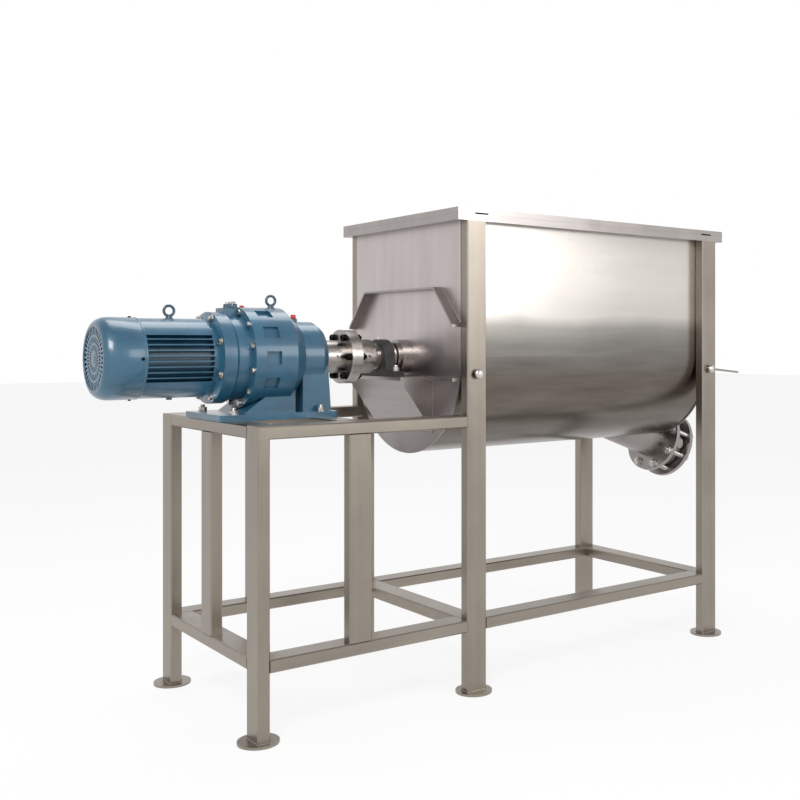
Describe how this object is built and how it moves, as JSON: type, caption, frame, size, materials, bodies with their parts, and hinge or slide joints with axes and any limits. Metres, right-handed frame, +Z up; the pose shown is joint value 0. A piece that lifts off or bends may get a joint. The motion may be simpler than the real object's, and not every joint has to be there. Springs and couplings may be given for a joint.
{
  "type": "ribbon blender",
  "caption": "Horizontal powder mixer: a lidded U-shaped steel trough with double helical ribbons on a tube frame, driven by a gear motor, with a sloping outlet and butterfly valve.",
  "frame": {"origin": "middle of the bounding box at floor level", "axes": "+X along the machine from the motor to the outlet, +Y to the hinge side of the lid, +Z up"},
  "size_m": [2.5508, 0.8646, 1.643],
  "materials": {
    "frame_steel": "satin",
    "trough_steel": "brushed",
    "lid_steel": "brushed",
    "rotor_steel": "satin",
    "drive_paint": "gloss",
    "bearing_iron": "satin",
    "dark_bolts": "matte",
    "bright_bolts": "polished",
    "seal_rubber": "matte",
    "red_plugs": "matte"
  },
  "bodies": {
    "frame": {"drive_legs": "frame_steel", "trough_leg_front": "frame_steel", "trough_leg_back": "frame_steel", "end_leg_front": "frame_steel", "end_leg_back": "frame_steel", "foot_discs": "frame_steel", "table_rails": "frame_steel", "table_cross_rails": "frame_steel", "table_posts": "frame_steel", "low_rails": "frame_steel", "trough_shell": "trough_steel", "end_plate_drive": "trough_steel", "end_plate_discharge": "trough_steel", "rim_bars": "trough_steel", "end_plate_strips": "trough_steel", "bearing_shelves": "trough_steel", "end_plate_bars": "trough_steel", "shelf_braces": "trough_steel", "bearing_housings": "bearing_iron", "bearing_inserts": "rotor_steel", "bearing_bolts": "bright_bolts", "stuffing_boxes": "trough_steel", "gland_followers": "trough_steel", "lid_seal": "seal_rubber", "hinge_leaves_rim": "trough_steel", "hinge_pins": "trough_steel", "motor_body": "drive_paint", "motor_flange": "drive_paint", "fan_cover": "drive_paint", "eye_bolts": "dark_bolts", "reducer_adapter": "drive_paint", "reducer_ring": "drive_paint", "reducer_pedestal": "drive_paint", "reducer_bolts": "bright_bolts", "pedestal_studs": "bright_bolts", "oil_plugs": "red_plugs", "discharge_spout": "trough_steel", "outlet_flange": "trough_steel", "valve_body": "trough_steel", "valve_seat": "seal_rubber", "flange_studs": "bright_bolts", "leg_studs": "bright_bolts"},
    "rotor": {"main_shaft": "rotor_steel", "ribbon_spokes": "rotor_steel", "outer_ribbons": "rotor_steel", "inner_ribbons": "rotor_steel", "coupling_half_reducer": "rotor_steel", "coupling_half_mixer": "rotor_steel", "coupling_bolts": "dark_bolts", "output_shaft": "rotor_steel"},
    "motor_rotor": {"motor_shaft": "rotor_steel", "cooling_fan": "dark_bolts"},
    "lid": {"lid": "lid_steel", "hinge_leaves_lid": "trough_steel"},
    "valve": {"valve_disc": "trough_steel", "valve_stem": "trough_steel", "valve_lever": "trough_steel"},
    "hook_rod": {"swing_rod": "rotor_steel"}
  },
  "joints": [
    {"name": "rotor_spin", "type": "hinge", "parent": "frame", "child": "rotor", "pos_m": [0.46057, 0, 1.138], "axis": [1, 0, 0], "continuous": true},
    {"name": "motor_spin", "type": "hinge", "parent": "frame", "child": "motor_rotor", "pos_m": [-1.15843, 0, 1.138], "axis": [1, 0, 0], "continuous": true},
    {"name": "lid_hinge", "type": "hinge", "parent": "frame", "child": "lid", "pos_m": [0.46057, 0.4, 1.623], "axis": [-1, 0, 0], "range_deg": [0, 100]},
    {"name": "valve_turn", "type": "hinge", "parent": "frame", "child": "valve", "pos_m": [1.16643, 0, 0.75021], "axis": [0, 1, 0], "range_deg": [0, 90]},
    {"name": "rod_swing", "type": "hinge", "parent": "frame", "child": "hook_rod", "pos_m": [1.04757, -0.39, 1.081], "axis": [0, 1, 0], "range_deg": [0, 84]}
  ],
  "couplings": [
    {"joint": "motor_spin", "follows": "rotor_spin", "ratio": -29}
  ]
}
